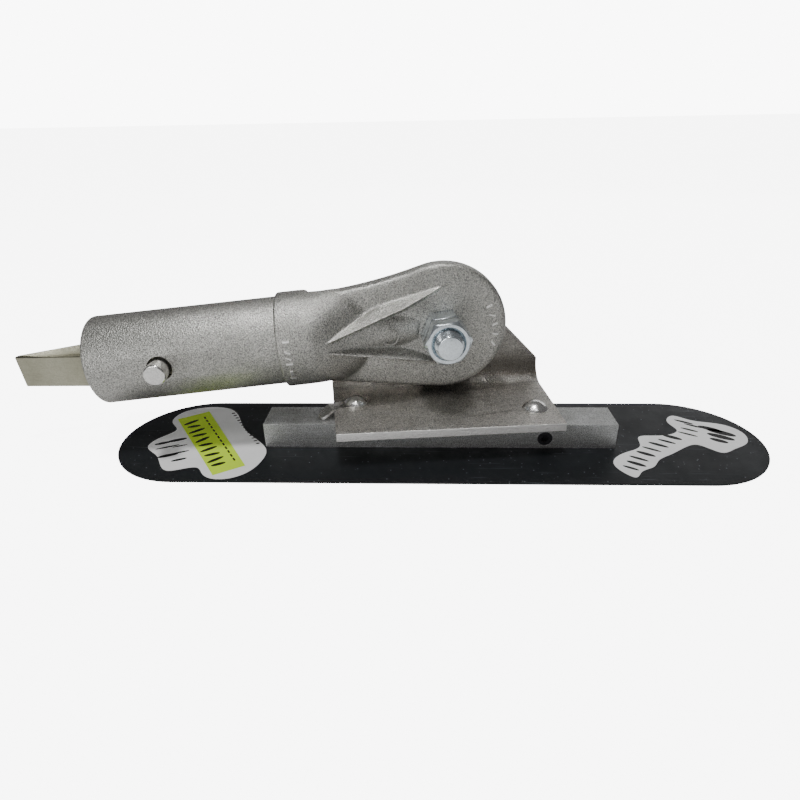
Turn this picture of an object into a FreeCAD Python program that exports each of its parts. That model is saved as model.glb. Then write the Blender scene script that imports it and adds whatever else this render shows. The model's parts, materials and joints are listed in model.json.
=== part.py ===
import FreeCAD, Part
import math
import os

# Pole-mounted bull float head: a thin round-ended blade, a mounting bar, an angle bracket and
# a cast handle adapter that tilts on a bolt.  Millimetres, +Z up, origin at the centre of the
# blade's working (under) face, +X along the blade, +Y away from the handle adapter's nut side.

os.makedirs("parts", exist_ok=True)

doc = FreeCAD.newDocument("float_head")
V = FreeCAD.Vector

# ---------------------------------------------------------------- driving dimensions
DIMENSIONS = [
    # blade
    ("blade_length", 304.8),
    ("blade_width", 74.5),
    ("blade_thick", 0.8),
    # mounting bar, screwed along the middle of the blade
    ("bar_length", 163.0),
    ("bar_width", 17.46),
    ("bar_height", 12.24),
    ("bar_offset_x", 1.0),
    ("rivet_radius", 3.0),
    ("rivet_depth", 8.0),
    ("rivet_pitch", 44.0),
    # angle bracket: foot on the bar, upright behind the adapter
    ("bracket_length", 102.25),
    ("bracket_thick", 3.86),
    ("bracket_yaw", 5.92),
    ("bracket_x", -43.89),
    ("bracket_y", -24.79),
    ("bend_radius", 10.0),
    ("upright_side", 52.0),
    ("upright_top", 65.6),
    ("upright_shoulder", 27.2),
    ("upright_slope", 46.0),
    ("left_end_skew", 4.0),
    # pivot
    ("pivot_along", 51.2),
    ("pivot_height", 49.6),
    ("bolt_radius", 6.35),
    ("pivot_clearance", 0.05),
    ("hex_flats", 19.05),
    ("pivot_nut_thick", 11.1),
    ("jam_nut_thick", 7.9),
    ("bolt_head_thick", 8.0),
    ("bolt_overhang", 5.5),
    ("head_washer_radius", 15.0),
    ("head_washer_thick", 2.0),
    ("spacer_radius", 12.7),
    # handle adapter casting
    ("ear_middle_side", 41.5),
    ("ear_thick", 10.0),
    ("face_gap", 0.05),
    ("ear_radius", 30.4),
    ("ear_rise", 0.75),
    ("ear_edge_round", 2.0),
    ("adapter_tilt", 4.34),
    ("barrel_rise", 2.35),
    ("barrel_radius", 22.225),
    ("barrel_start", 61.0),
    ("collar_face", 75.4),
    ("shank_radius", 20.5),
    ("shank_length", 85.2),
    ("seat_length", 46.1),
    ("lead_in", 0.25),
    ("shank_wall", 3.5),
    ("bore_depth", 62.0),
    ("rib_tip_rise", 19.5),
    ("rib_half_width", 4.4),
    # spring clip and snap button
    ("clip_strip_width", 14.6),
    ("clip_thick", 0.8),
    ("clip_fold_from_end", 38.3),
    ("clip_fold_radius", 1.6),
    ("clip_drop", 1.2),
    ("leaf_clearance", 0.3),
    ("button_radius", 4.75),
    ("button_hole_radius", 5.6),
    ("button_from_end", 32.8),
    ("button_proud", 7.5),
    # small fasteners
    ("right_head_radius", 6.1),
    ("right_head_height", 3.1),
    ("left_head_radius", 5.3),
    ("left_head_height", 2.7),
    ("dome_screw_radius", 2.4),
    ("dome_screw_depth", 8.0),
    ("right_screw_x", 46.4),
    ("right_screw_y", 1.9),
    ("left_screw_x", -38.4),
    ("left_screw_y", 5.4),
    ("tab_thick", 0.9),
    ("tab_width", 7.0),
    ("tab_washer_radius", 6.0),
    ("tab_heading", 201.6),
    ("tab_reach", 18.9),
    ("set_screw_radius", 3.4),
    ("set_screw_length", 6.0),
    ("set_screw_x", 50.0),
    ("hex_key_flats", 3.2),
    ("decal_thick", 0.12),
]

sheet = doc.addObject("Spreadsheet::Sheet", "Size")
for row, (alias, value) in enumerate(DIMENSIONS, start=1):
    sheet.set("A%d" % row, alias)
    sheet.set("B%d" % row, str(value))
    sheet.setAlias("B%d" % row, alias)
doc.recompute()


def size(alias):
    """The number in one cell of the sheet."""
    return float(getattr(sheet, alias))


def bind(feature, **expressions):
    """Bind properties such as Length, or place_x for Placement.Base.x, to sheet expressions."""
    for name, expression in expressions.items():
        target = name
        if name.startswith("place_"):
            target = "Placement.Base." + name[-1]
        feature.setExpression(target, expression)
    return feature


def box(name, rotation=None, **expressions):
    feature = doc.addObject("Part::Box", name)
    if rotation is not None:
        feature.Placement = FreeCAD.Placement(V(0, 0, 0), rotation)
    return bind(feature, **expressions)


def cylinder(name, rotation=None, angle=360.0, **expressions):
    feature = doc.addObject("Part::Cylinder", name)
    feature.Angle = angle
    if rotation is not None:
        feature.Placement = FreeCAD.Placement(V(0, 0, 0), rotation)
    return bind(feature, **expressions)


def cut(name, base, tool):
    feature = doc.addObject("Part::Cut", name)
    feature.Base = base
    feature.Tool = tool
    return feature


def fuse(name, shapes):
    feature = doc.addObject("Part::MultiFuse", name)
    feature.Shapes = shapes
    return feature


def common(name, shapes):
    feature = doc.addObject("Part::MultiCommon", name)
    feature.Shapes = shapes
    return feature


def solid(name, shape):
    feature = doc.addObject("Part::Feature", name)
    feature.Shape = shape
    return feature


def closed_face(points):
    return Part.Face(Part.makePolygon(points + [points[0]]))


# Rotations that stand a cylinder's axis along +X and along +Y.
ALONG_X = FreeCAD.Rotation(V(0, 1, 0), 90)
ALONG_Y = FreeCAD.Rotation(V(1, 0, 0), -90)

# The bracket's own frame: x along its length, y across its foot, z up.
BRACKET = FreeCAD.Placement(
    V(size("bracket_x"), size("bracket_y"), 0),
    FreeCAD.Rotation(V(0, 0, 1), size("bracket_yaw")),
)

# The adapter's own frame: origin on the pivot, x along the handle away from the pivot,
# y towards the nuts, z up.
ADAPTER = BRACKET.multiply(
    FreeCAD.Placement(
        V(size("pivot_along"), size("ear_middle_side"), size("pivot_height")),
        FreeCAD.Rotation(180, size("adapter_tilt"), 0),
    )
)

BAR_TOP = "Size.blade_thick + Size.bar_height"
FOOT_TOP = BAR_TOP + " + Size.bracket_thick"
bar_top = size("blade_thick") + size("bar_height")
foot_top = bar_top + size("bracket_thick")
final = []


def finish(feature, node, placement=None):
    """Name the node and, where it has its own frame, put it in place."""
    feature.Label = node
    if placement is not None:
        feature.Placement = placement.multiply(feature.Placement)
    final.append(feature)
    return feature


# ---------------------------------------------------------------- blade
middle = box(
    "blade_middle",
    Length="Size.blade_length - Size.blade_width",
    Width="Size.blade_width",
    Height="Size.blade_thick",
    place_x="-(Size.blade_length - Size.blade_width) / 2",
    place_y="-Size.blade_width / 2",
)
ends = []
for side, sign in (("left", "-"), ("right", "")):
    ends.append(
        cylinder(
            "blade_end_" + side,
            Radius="Size.blade_width / 2",
            Height="Size.blade_thick",
            place_x=sign + "(Size.blade_length - Size.blade_width) / 2",
        )
    )
blade_plate = fuse("blade_plate", [middle] + ends)


def rivet_group(name):
    """Four flush rivets through the blade into the bar."""
    rivets = []
    for number, step in enumerate((-1.5, -0.5, 0.5, 1.5), start=1):
        rivets.append(
            cylinder(
                "%s_%d" % (name, number),
                Radius="Size.rivet_radius",
                Height="Size.rivet_depth",
                place_x="Size.bar_offset_x + %g * Size.rivet_pitch" % step,
            )
        )
    return rivets


finish(cut("blade_cut", blade_plate, fuse("blade_holes", rivet_group("blade_hole"))), "blade")
rivets = doc.addObject("Part::Compound", "rivets")
rivets.Links = rivet_group("rivet")
finish(rivets, "blade_rivets")

# ---------------------------------------------------------------- mounting bar
bar_block = box(
    "bar_block",
    Length="Size.bar_length",
    Width="Size.bar_width",
    Height="Size.bar_height",
    place_x="Size.bar_offset_x - Size.bar_length / 2",
    place_y="-Size.bar_width / 2",
    place_z="Size.blade_thick",
)
bar_tools = rivet_group("bar_hole")
for side in ("left", "right"):
    bar_tools.append(
        cylinder(
            "bar_tapped_" + side,
            Radius="Size.dome_screw_radius",
            Height="Size.dome_screw_depth + 1",
            place_x="Size.%s_screw_x" % side,
            place_y="Size.%s_screw_y" % side,
            place_z=BAR_TOP + " - Size.dome_screw_depth",
        )
    )
bar_tools.append(
    cylinder(
        "bar_set_screw_hole",
        rotation=ALONG_Y,
        Radius="Size.set_screw_radius",
        Height="Size.set_screw_length",
        place_x="Size.set_screw_x",
        place_y="-Size.bar_width / 2",
        place_z="Size.blade_thick + 0.41 * Size.bar_height",
    )
)
finish(cut("bar_cut", bar_block, fuse("bar_holes", bar_tools)), "mount_bar")

# ---------------------------------------------------------------- set screw in the bar's front
screw_body = cylinder(
    "set_screw_body",
    rotation=ALONG_Y,
    Radius="Size.set_screw_radius",
    Height="Size.set_screw_length",
    place_x="Size.set_screw_x",
    place_y="-Size.bar_width / 2",
    place_z="Size.blade_thick + 0.41 * Size.bar_height",
)
key_socket = doc.addObject("Part::Prism", "set_screw_socket")
key_socket.Polygon = 6
key_socket.Placement = FreeCAD.Placement(V(0, 0, 0), ALONG_Y)
bind(
    key_socket,
    Circumradius="Size.hex_key_flats / sqrt(3)",
    Height="Size.set_screw_length / 2",
    place_x="Size.set_screw_x",
    place_y="-Size.bar_width / 2",
    place_z="Size.blade_thick + 0.41 * Size.bar_height",
)
finish(cut("set_screw", screw_body, key_socket), "bar_set_screw")

# ---------------------------------------------------------------- angle bracket
# The left end runs past the foot's corner by the skew, so the stock starts further left.
OVERRUN = "(Size.upright_side + Size.bracket_thick) * tan(Size.left_end_skew * 1 deg)"
foot = box(
    "foot",
    Length="Size.bracket_length + " + OVERRUN,
    Width="Size.upright_side - Size.bend_radius",
    Height="Size.bracket_thick",
    place_x="-" + OVERRUN,
    place_z=BAR_TOP,
)
bend_outside = cylinder(
    "bend_outside",
    rotation=ALONG_X,
    angle=90.0,
    Radius="Size.bend_radius + Size.bracket_thick",
    Height="Size.bracket_length + " + OVERRUN,
    place_x="-" + OVERRUN,
    place_y="Size.upright_side - Size.bend_radius",
    place_z=FOOT_TOP + " + Size.bend_radius",
)
bend_inside = cylinder(
    "bend_inside",
    rotation=ALONG_X,
    Radius="Size.bend_radius",
    Height="Size.bracket_length + 2 * " + OVERRUN,
    place_x="-1.5 * " + OVERRUN,
    place_y="Size.upright_side - Size.bend_radius",
    place_z=FOOT_TOP + " + Size.bend_radius",
)
upright = box(
    "upright",
    Length="Size.bracket_length + " + OVERRUN,
    Width="Size.bracket_thick",
    Height="Size.upright_top - (" + FOOT_TOP + " + Size.bend_radius)",
    place_x="-" + OVERRUN,
    place_y="Size.upright_side",
    place_z=FOOT_TOP + " + Size.bend_radius",
)
angle_stock = fuse("angle_stock", [foot, cut("bend", bend_outside, bend_inside), upright])

skew_tool = box(
    "left_end_tool",
    rotation=FreeCAD.Rotation(V(0, 0, 1), size("left_end_skew")),
    Length="40",
    Width="2 * (Size.upright_side + Size.bracket_thick)",
    Height="Size.upright_top + 10",
    place_x="-40 * cos(Size.left_end_skew * 1 deg)",
    place_y="-40 * sin(Size.left_end_skew * 1 deg)",
)


def corner_tool(side):
    """A block whose lower face slopes up from the upright's shoulder towards the pivot."""
    slope = math.radians(size("upright_slope"))
    reach = size("bracket_length") - size("pivot_along")
    rise = size("upright_top") - size("upright_shoulder") + 5
    outer = V(reach + 20, 0, size("upright_shoulder") - 20 * math.tan(slope))
    inner = V(reach - rise / math.tan(slope), 0, size("upright_shoulder") + rise)
    top = V(reach + 20, 0, size("upright_shoulder") + rise)
    face = closed_face([outer, top, inner])
    wedge = face.extrude(V(0, 4 * size("bracket_thick"), 0))
    if side == "left":
        wedge = wedge.mirror(V(0, 0, 0), V(1, 0, 0))
    wedge.translate(V(size("pivot_along"), size("upright_side") - size("bracket_thick"), 0))
    return solid("corner_tool_" + side, wedge)


bolt_hole = cylinder(
    "upright_bolt_hole",
    rotation=ALONG_Y,
    Radius="Size.bolt_radius",
    Height="4 * Size.bracket_thick",
    place_x="Size.pivot_along",
    place_y="Size.upright_side - Size.bracket_thick",
    place_z="Size.pivot_height",
)
bracket_tools = [skew_tool, corner_tool("left"), corner_tool("right"), bolt_hole]
for side in ("left", "right"):
    place = BRACKET.inverse().multVec(
        V(size(side + "_screw_x"), size(side + "_screw_y"), bar_top - 1)
    )
    hole = Part.makeCylinder(size("dome_screw_radius"), size("bracket_thick") + 2, place)
    bracket_tools.append(solid("foot_hole_" + side, hole))
bracket = cut("bracket", angle_stock, fuse("bracket_holes", bracket_tools))
finish(bracket, "angle_bracket", BRACKET)


# ---------------------------------------------------------------- screws that hold the foot
def dome_screw(side, seat):
    """A smooth domed head with its shank in the bar."""
    radius = size(side + "_head_radius")
    height = size(side + "_head_height")
    sphere_radius = (radius * radius + height * height) / (2 * height)
    place = V(size(side + "_screw_x"), size(side + "_screw_y"), 0)
    ball = Part.makeSphere(sphere_radius, place + V(0, 0, seat + height - sphere_radius))
    slab = Part.makeCylinder(radius + 1, height + 1, place + V(0, 0, seat))
    bottom = bar_top - size("dome_screw_depth")
    stem = Part.makeCylinder(size("dome_screw_radius"), seat - bottom, place + V(0, 0, bottom))
    return ball.common(slab).fuse(stem).removeSplitter()


finish(solid("right_screw", dome_screw("right", foot_top)), "foot_screw_right")
finish(solid("left_screw", dome_screw("left", foot_top + size("tab_thick"))), "foot_screw_left")


# ---------------------------------------------------------------- lock tab under the left screw
def lock_tab():
    """A washer whose tongue folds over the foot's left end and down to the bar."""
    thick = size("tab_thick")
    centre = BRACKET.inverse().multVec(V(size("left_screw_x"), size("left_screw_y"), foot_top))
    washer = Part.makeCylinder(size("tab_washer_radius"), thick, centre)
    # the fold has to clear the foot's skewed end on both sides of the tongue
    skew = math.tan(math.radians(size("left_end_skew")))
    heading = math.radians(size("tab_heading"))
    corner = centre + V(-math.sin(heading), math.cos(heading), 0) * (size("tab_width") / 2)
    edge = 0.7 * thick - (corner.x + skew * corner.y) / (math.cos(heading) + skew * math.sin(heading))
    reach = size("tab_reach")
    drop = size("bracket_thick")
    profile = [
        V(0, 0, thick),
        V(edge, 0, thick),
        V(reach, 0, thick - drop),
        V(reach - 0.9 * thick, 0, 0.1 - drop),
        V(edge - 0.6 * thick, 0, 0),
        V(0, 0, 0),
    ]
    strip = closed_face(profile).extrude(V(0, size("tab_width"), 0))
    strip.translate(V(0, -size("tab_width") / 2, 0))
    tip = Part.makeCylinder(size("tab_width") / 2, 4 * drop, V(reach - size("tab_width") / 2, 0, -2 * drop))
    keep = Part.makeBox(reach - size("tab_width") / 2, size("tab_width"), 4 * drop,
                        V(0, -size("tab_width") / 2, -2 * drop)).fuse(tip)
    strip = strip.common(keep)
    strip.rotate(V(0, 0, 0), V(0, 0, 1), size("tab_heading"))
    strip.translate(centre)
    hole = Part.makeCylinder(size("dome_screw_radius"), 3 * thick, centre - V(0, 0, thick))
    return washer.fuse(strip).cut(hole).removeSplitter()


finish(solid("lock_tab", lock_tab()), "lock_tab_washer", BRACKET)

# ---------------------------------------------------------------- pivot bolt, nuts and washers
ear_near = size("ear_middle_side") - size("ear_thick") / 2
ear_far = size("ear_middle_side") + size("ear_thick") / 2
NEAR = "(Size.ear_middle_side - Size.ear_thick / 2)"
FAR = "(Size.ear_middle_side + Size.ear_thick / 2)"


def ring(name, node, outer, inner, start, thick):
    """A washer round the pivot, from start outwards along the bracket's y."""
    common_place = dict(place_x="Size.pivot_along", place_z="Size.pivot_height")
    disc = cylinder(name + "_disc", rotation=ALONG_Y, Radius=outer, Height=thick,
                    place_y=start, **common_place)
    hole = cylinder(name + "_hole", rotation=ALONG_Y, Radius=inner, Height=thick,
                    place_y=start, **common_place)
    finish(cut(name, disc, hole), node, BRACKET)


ring("spacer", "pivot_spacer", "Size.spacer_radius", "Size.bolt_radius",
     FAR, "Size.upright_side - " + FAR)
ring("head_washer", "bolt_washer", "Size.head_washer_radius", "Size.bolt_radius",
     "Size.upright_side + Size.bracket_thick", "Size.head_washer_thick")


def hexagon(name, start, thick, turn):
    """A hexagonal prism round the pivot with its corners turned off to a cone."""
    prism = doc.addObject("Part::Prism", name + "_hex")
    prism.Polygon = 6
    rotation = ALONG_Y.multiply(FreeCAD.Rotation(V(0, 0, 1), turn))
    prism.Placement = FreeCAD.Placement(V(0, 0, 0), rotation)
    bind(prism, Circumradius="Size.hex_flats / sqrt(3)", Height=thick,
         place_x="Size.pivot_along", place_y=start, place_z="Size.pivot_height")
    return prism


def corner_cone(name, start, thick, outward):
    """The turned envelope that takes the sharp corners off one face of a hexagon."""
    cone = doc.addObject("Part::Cone", name + "_cone")
    rotation = ALONG_Y if outward > 0 else FreeCAD.Rotation(V(1, 0, 0), 90)
    cone.Placement = FreeCAD.Placement(V(0, 0, 0), rotation)
    bind(cone, Radius1="Size.hex_flats / 2 + 1.6 * " + thick, Radius2="Size.hex_flats / 2 - 0.2",
         Height=thick, place_x="Size.pivot_along", place_y=start, place_z="Size.pivot_height")
    return cone


def nut(name, node, start, thick, turn):
    hexed = common(name + "_body", [
        hexagon(name, start, thick, turn),
        corner_cone(name, start + " + " + thick, thick, -1),
    ])
    hole = cylinder(name + "_hole", rotation=ALONG_Y, Radius="Size.bolt_radius", Height=thick,
                    place_x="Size.pivot_along", place_y=start, place_z="Size.pivot_height")
    finish(cut(name, hexed, hole), node, BRACKET)


nut("pivot_nut", "pivot_nut", NEAR + " - Size.pivot_nut_thick", "Size.pivot_nut_thick", 3.0)
nut("jam_nut", "jam_nut", NEAR + " - Size.pivot_nut_thick - Size.jam_nut_thick",
    "Size.jam_nut_thick", 3.0)

HEAD_SEAT = "Size.upright_side + Size.bracket_thick + Size.head_washer_thick"
BOLT_TIP = NEAR + " - Size.pivot_nut_thick - Size.jam_nut_thick - Size.bolt_overhang"
bolt_head = common("bolt_head", [
    hexagon("bolt_head", HEAD_SEAT, "Size.bolt_head_thick", 0.0),
    corner_cone("bolt_head", HEAD_SEAT, "Size.bolt_head_thick", 1),
])
bolt_shank = cylinder("bolt_shank", rotation=ALONG_Y, Radius="Size.bolt_radius",
                      Height=HEAD_SEAT + " - (" + BOLT_TIP + " + 1)",
                      place_x="Size.pivot_along", place_y=BOLT_TIP + " + 1",
                      place_z="Size.pivot_height")
bolt_point = doc.addObject("Part::Cone", "bolt_point")
bolt_point.Placement = FreeCAD.Placement(V(0, 0, 0), ALONG_Y)
bind(bolt_point, Radius1="Size.bolt_radius - 1", Radius2="Size.bolt_radius", Height="1",
     place_x="Size.pivot_along", place_y=BOLT_TIP, place_z="Size.pivot_height")
finish(fuse("bolt", [bolt_head, bolt_shank, bolt_point]), "pivot_bolt", BRACKET)

# ---------------------------------------------------------------- handle adapter casting
shank_end = size("collar_face") + size("shank_length")
button_at = shank_end - size("button_from_end")


def ear_plate():
    """The flat ear: a disc on the pivot with straight edges that run into the barrel."""
    half = size("ear_thick") / 2 - size("face_gap")
    big = size("ear_radius")
    small = size("barrel_radius") - 1.3
    centre = V(0, half, size("ear_rise"))
    run = size("barrel_start") + 4
    lean = math.asin((big - small) / run)

    def on_rim(angle):
        return centre + V(big * math.cos(angle), 0, big * math.sin(angle))

    top = on_rim(math.radians(74.7))
    bottom = on_rim(lean - math.pi / 2)
    far_bottom = V(run, half, size("barrel_rise") - small)
    waist = V(run / 2 - 2, half, size("ear_rise") + 24.65)
    far_top = V(run, half, size("barrel_rise") + small - 0.6)
    outline = Part.Wire([
        Part.Arc(top, centre + V(-big, 0, 0), bottom).toShape(),
        Part.makeLine(bottom, far_bottom),
        Part.makeLine(far_bottom, far_top),
        Part.Arc(far_top, waist, top).toShape(),
    ])
    plate = Part.Face(outline).extrude(V(0, -2 * half, 0))
    edges = []
    for edge in plate.Edges:
        along_pivot = abs(edge.BoundBox.YLength) > 1
        on_far_end = edge.BoundBox.XMin > run - 15 and edge.BoundBox.XLength < 15
        if not along_pivot and not on_far_end:
            edges.append(edge)
    return plate.makeFillet(size("ear_edge_round"), edges)


def neck_section(x, half_height, bulge):
    """One section of the swelling between ear and barrel, on the nut side only."""
    count = 16
    points = []
    for step in range(count + 1):
        angle = math.pi * (step / count - 0.5)
        height = half_height * math.sin(angle)
        points.append(V(x, bulge * math.cos(angle), size("barrel_rise") + height))
    curve = Part.BSplineCurve()
    curve.interpolate(points)
    back = Part.makeLine(points[-1], points[0])
    return Part.Wire([curve.toShape(), back])


def neck_swell():
    """Runs from the round barrel down to the flat ear just clear of the nut."""
    radius = size("barrel_radius") - 0.02
    start = size("barrel_start") + 5
    nut_corner = size("hex_flats") / math.sqrt(3)
    flat = size("ear_thick") / 2
    # each row: how far from the ear's flat (0) to the barrel (1), half height, bulge
    stations = [
        (1.00, 1.00, 1.00),
        (0.88, 1.00, 0.98),
        (0.78, 1.00, 0.86),
        (0.67, 0.995, 0.68),
        (0.58, 0.87, 0.57),
        (0.47, 0.55, 0.48),
        (0.28, 0.45, 0.40),
        (0.00, 0.38, 0.24),
    ]
    end = nut_corner - 1.5
    wires = []
    for share, height, bulge in stations:
        x = end + share * (start - end)
        wires.append(neck_section(x, height * radius, bulge * radius))
    swell = Part.makeLoft(wires, True, True)
    # keep the flat seat round the nut clear
    seat = Part.makeCylinder(nut_corner + 1.2, 40, V(0, flat - size("face_gap"), 0), V(0, 1, 0))
    return swell.cut(seat)


def rib(sign):
    """A sharp crest from the middle of the barrel's front to the ear's edge."""
    axis = size("barrel_rise")
    width = size("rib_half_width")
    radius = size("barrel_radius")
    flat = size("ear_thick") / 2 - size("face_gap")
    start = V(size("barrel_start") - 3, radius - 1.6, axis + sign * 1.2)
    crest = V(17.0, 12.3, axis + sign * 12.6)
    tip = V(-3.5, flat - 0.1, axis + sign * size("rib_tip_rise"))
    along = (tip - start).normalize()
    across = V(0, 1, 0).cross(along).normalize()
    upper = crest + across * width + V(0, 1.0 - crest.y, 0)
    lower = crest - across * width + V(0, 1.0 - crest.y, 0)
    heel = start + V(0, 1.0 - start.y, 0)
    toe = tip + V(0, 1.0 - tip.y, 0)
    triangles = [
        (start, upper, crest), (start, crest, lower),
        (crest, upper, tip), (crest, tip, lower),
        (start, heel, upper), (start, lower, heel),
        (tip, upper, toe), (tip, toe, lower),
        (heel, toe, upper), (heel, lower, toe),
    ]
    faces = [closed_face(list(corner)) for corner in triangles]
    return Part.makeSolid(Part.makeShell(faces))


def adapter_casting():
    axis = size("barrel_rise")
    barrel_length = size("collar_face") - size("barrel_start")
    barrel = Part.makeCylinder(
        size("barrel_radius"), barrel_length, V(size("barrel_start"), 0, axis), V(1, 0, 0))
    rims = [e for e in barrel.Edges if len(e.Vertexes) == 1 and e.Curve.TypeId == "Part::GeomCircle"]
    shoulder = [e for e in rims if e.BoundBox.XMin > size("barrel_start") + 1]
    barrel = barrel.makeFillet(0.8, shoulder)
    # the handle tube seats next to the collar; past the seat the shank is a little slimmer
    seat = Part.makeCylinder(
        size("shank_radius"), size("collar_face") + size("seat_length") - size("barrel_start") - 2,
        V(size("barrel_start") + 2, 0, axis), V(1, 0, 0))
    shank = Part.makeCylinder(
        size("shank_radius") - size("lead_in"), shank_end - size("barrel_start") - 2,
        V(size("barrel_start") + 2, 0, axis), V(1, 0, 0))
    nose = [e for e in shank.Edges if e.BoundBox.XMin > shank_end - 1]
    shank = shank.makeFillet(1.5, nose)
    body = barrel.fuse([seat, shank, ear_plate(), neck_swell(), rib(1), rib(-1)])
    bore_radius = size("shank_radius") - size("shank_wall")
    bore = Part.makeCylinder(
        bore_radius, size("bore_depth") + 1, V(shank_end - size("bore_depth"), 0, axis), V(1, 0, 0))
    button_hole = Part.makeCylinder(
        size("button_hole_radius"), 2 * size("shank_radius"), V(button_at, 0, axis), V(0, 1, 0))
    pivot_hole = Part.makeCylinder(
        size("bolt_radius") + size("pivot_clearance"), 4 * size("ear_thick"),
        V(0, -2 * size("ear_thick"), 0), V(0, 1, 0))
    return body.cut([bore, button_hole, pivot_hole])


finish(solid("casting", adapter_casting()), "handle_adapter", ADAPTER)


# ---------------------------------------------------------------- spring clip and snap button
bore_radius = size("shank_radius") - size("shank_wall")
strip_half = size("clip_strip_width") / 2
clip_low = strip_half + size("clip_drop")
wall_touch = math.sqrt(bore_radius ** 2 - clip_low ** 2) - size("leaf_clearance")
leaf_middle = wall_touch - size("clip_thick") / 2
fold_x = shank_end + size("clip_fold_from_end")
leaf_tip_x = button_at - 11


def clip_path():
    """Middle line of the folded strip, from the far leaf's end round the fold to the near one."""
    radius = size("clip_fold_radius")
    near = []
    for step in range(1, 7):
        angle = math.radians(15 * step)
        near.append(V(fold_x - radius + radius * math.cos(angle), radius * math.sin(angle), 0))
    spread = math.radians(14.5)
    bend_x = near[-1].x - (leaf_middle - radius) / math.tan(spread)
    near.append(V(bend_x, leaf_middle, 0))
    near.append(V(leaf_tip_x, leaf_middle, 0))
    far = [V(p.x, -p.y, 0) for p in reversed(near)]
    return far + [V(fold_x, 0, 0)] + near


def offset(points, distance):
    """The same line moved sideways by a distance, with mitred corners."""
    moved = []
    for index, point in enumerate(points):
        before = points[max(index - 1, 0)]
        after = points[min(index + 1, len(points) - 1)]
        first = (point - before) if index else (after - point)
        last = (after - point) if index < len(points) - 1 else first
        first = V(first).normalize()
        last = V(last).normalize()
        normal = V(first.y + last.y, -first.x - last.x, 0).normalize()
        mitre = distance / normal.dot(V(first.y, -first.x, 0))
        moved.append(point + normal * mitre)
    return moved


def spring_clip():
    thick = size("clip_thick") / 2
    middle = clip_path()
    face = closed_face(offset(middle, thick) + list(reversed(offset(middle, -thick))))
    middle_height = size("barrel_rise") - size("clip_drop")
    strip = face.extrude(V(0, 0, size("clip_strip_width")))
    strip.translate(V(0, 0, middle_height - strip_half))
    stem_hole = Part.makeCylinder(2.5, 4, V(button_at, leaf_middle - 2, size("barrel_rise")), V(0, 1, 0))
    return strip.cut(stem_hole).removeSplitter()


def snap_button():
    """A stud that stands out of the shank, riveted through the near leaf."""
    centre = size("barrel_rise")
    seat = wall_touch
    top = size("shank_radius") + size("button_proud")
    stud = Part.makeCylinder(size("button_radius"), top - seat, V(button_at, seat, centre), V(0, 1, 0))
    crown = [e for e in stud.Edges if e.BoundBox.YMin > top - 0.5]
    stud = stud.makeFillet(0.9, crown)
    stem = Part.makeCylinder(2.5, size("clip_thick"), V(button_at, seat, centre), V(0, -1, 0))
    head = Part.makeCylinder(
        3.8, 1.1, V(button_at, seat - size("clip_thick"), centre), V(0, -1, 0))
    return stud.fuse([stem, head]).removeSplitter()


finish(solid("clip", spring_clip()), "spring_clip", ADAPTER)
finish(solid("button", snap_button()), "snap_button", ADAPTER)


# ---------------------------------------------------------------- decals on the blade
def film(outline, lift):
    """Printed film of the decal's thickness inside an outline, on the blade or on another decal."""
    face = Part.Face(Part.Wire(outline))
    face.translate(V(0, 0, size("blade_thick") + lift * size("decal_thick")))
    return face.extrude(V(0, 0, size("decal_thick")))


def die_cut(points):
    """A flowing closed outline through the points."""
    curve = Part.BSplineCurve()
    curve.interpolate([V(x, y, 0) for x, y in points], PeriodicFlag=True)
    return [curve.toShape()]


badge_outline = die_cut([
    (-136, 18), (-132, 27.5), (-125.5, 30.8), (-110, 30), (-94.7, 6.8), (-79, -15),
    (-79.5, -21), (-84, -31), (-95, -35.8), (-103, -32), (-107, -27), (-119, -29.5),
    (-130, -17), (-137.5, -9), (-135.5, -1.5), (-130, 7)])
name_outline = die_cut([
    (117.4, 20.4), (121.5, 23), (127, 19.2), (142, 13.7), (147.6, 5.9), (145, -3.5),
    (136, -9.5), (130, -12.3), (121, -5.3), (115.9, -7.1), (106, -14), (98.5, -19.4),
    (95, -24), (88, -28.5), (84.5, -32.4), (80.5, -29), (78.2, -21.3), (85.9, -12.7),
    (95, -6), (96.5, 1), (108, 3), (117.5, 8.5)])
band_corners = [V(-133.6, 17.9, 0), V(-120, 26.7, 0), V(-85.9, -25.1, 0), V(-98.1, -32.9, 0)]
band_outline = Part.makePolygon(band_corners + band_corners[:1]).Edges

finish(solid("badge_sheet", film(badge_outline, 0)), "decal_left_sheet")
finish(solid("badge_band", film(band_outline, 1)), "decal_left_band")
finish(solid("name_sheet", film(name_outline, 0)), "decal_right_sheet")

# ---------------------------------------------------------------- check and write
doc.recompute()
for feature in doc.Objects:
    if "Invalid" in feature.State or "Error" in feature.State:
        raise SystemExit("%s is in state %s" % (feature.Name, feature.State))
for feature in final:
    shape = feature.Shape
    if shape.isNull() or not shape.isValid() or not shape.Solids:
        raise SystemExit("%s has no valid solid" % feature.Label)
    shape.exportStep("parts/%s.step" % feature.Label)
    print("%-20s solids %d  volume %.1f" % (feature.Label, len(shape.Solids), shape.Volume))
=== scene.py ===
# %% [markdown]
# # A pole-mounted float head
# A thin black blade carries an aluminium bar and an angle bracket, and a cast handle adapter
# tilts on a bolt through the bracket's upright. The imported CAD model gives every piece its
# place and size, so this lesson dresses it: sharp CAD edges are softened, the casting, the bolt
# and the outer nut are modelled again with their finer shapes, and each metal gets its own
# surface.

import json
import math

import bpy
from mathutils import Euler, Matrix, Vector
from mathutils.kdtree import KDTree

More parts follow.
